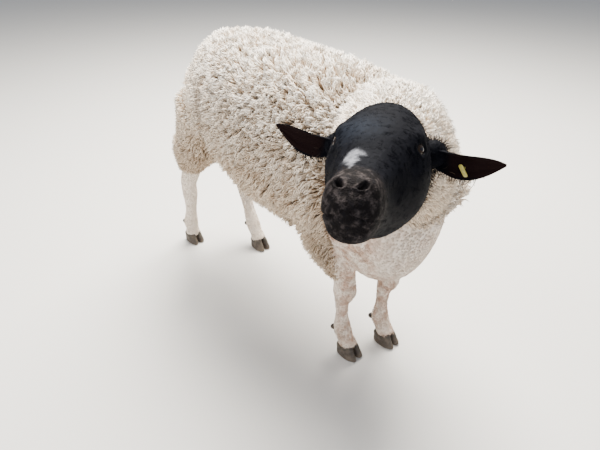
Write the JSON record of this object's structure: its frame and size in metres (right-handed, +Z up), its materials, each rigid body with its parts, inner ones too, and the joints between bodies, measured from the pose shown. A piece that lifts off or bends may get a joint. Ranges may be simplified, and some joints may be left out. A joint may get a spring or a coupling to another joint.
{
  "type": "dorper sheep",
  "caption": "Life-size still model of a standing sheep with a long cream fleece, white legs and a black head turned to its right, with a small plain tag in one ear",
  "frame": {"origin": "middle of the box round the whole sheep, at floor level under the hooves", "axes": "+Z up, the body faces -Y, +X is the sheep's left side"},
  "size_m": [0.6453, 1.062, 0.7687],
  "materials": {
    "fleece": "matte wool",
    "white_hair": "short matte hair",
    "black_hair": "short hair with a soft sheen",
    "ear_skin": "satin skin with short hair",
    "eye": "polished",
    "horn": "matte horn",
    "tag_yellow": "smooth matte"
  },
  "bodies": {
    "root": {"torso": "fleece", "neck": "fleece", "tail": "fleece", "head": "black_hair", "ear_left": "ear_skin", "ear_right": "ear_skin", "ear_tag": "tag_yellow", "eye_left": "eye", "eye_right": "eye", "leg_front_left": "white_hair", "leg_front_right": "white_hair", "leg_hind_left": "white_hair", "leg_hind_right": "white_hair", "hoof_front_left": "horn", "hoof_front_right": "horn", "hoof_hind_left": "horn", "hoof_hind_right": "horn"}
  },
  "joints": []
}
